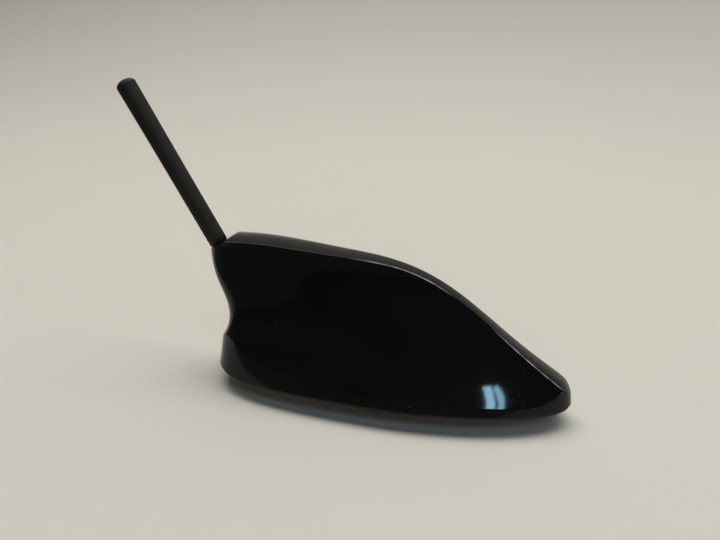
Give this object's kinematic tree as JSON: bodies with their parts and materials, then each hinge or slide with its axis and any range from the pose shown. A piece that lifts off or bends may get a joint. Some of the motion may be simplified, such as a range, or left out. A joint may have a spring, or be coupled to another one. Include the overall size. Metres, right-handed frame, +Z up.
{
  "type": "shark fin roof aerial",
  "caption": "Hollow gloss black fin aerial for a car roof, with a short raked rubber mast at its tail and a foot with coaxial sockets that is bolted through the roof.",
  "frame": {"origin": "mouth of the roof bolt's threaded hole, in the middle of the foot's underside", "axes": "+X towards the nose of the fin, +Y to its left side, +Z up, away from the roof"},
  "size_m": [0.2045, 0.0594, 0.135],
  "materials": {
    "cover_gloss": "high gloss black moulding",
    "seal_rubber": "matt black",
    "cast_metal": "as cast",
    "board": "green solder mask",
    "screw_steel": "zinc plated",
    "socket_plastic": "black moulding",
    "brass": "turned",
    "tinned_sheet": "tinned sheet",
    "ceramic_tile": "unglazed",
    "holder_plastic": "natural moulding",
    "core_rod": "glass fibre rod",
    "copper_wire": "enamelled copper",
    "mast_rubber": "matt black, fine grain",
    "spring_strip": "spring bronze"
  },
  "bodies": {
    "root": {"fin_cover": "cover_gloss", "roof_seal": "seal_rubber", "base_plate": "cast_metal", "circuit_board": "board", "board_screws": "screw_steel", "cover_screws": "screw_steel", "coax_socket_rear": "socket_plastic", "coax_socket_front": "socket_plastic", "coax_pin_rear": "brass", "coax_pin_front": "brass", "shield_can": "tinned_sheet", "patch_antenna": "ceramic_tile", "patch_feed_pin": "brass", "fin_element": "tinned_sheet", "element_holder": "holder_plastic", "mast_stud": "brass", "mast_core": "core_rod", "mast_winding": "copper_wire", "mast_sheath": "mast_rubber", "mast_socket": "brass", "mast_contact": "spring_strip"}
  },
  "joints": []
}
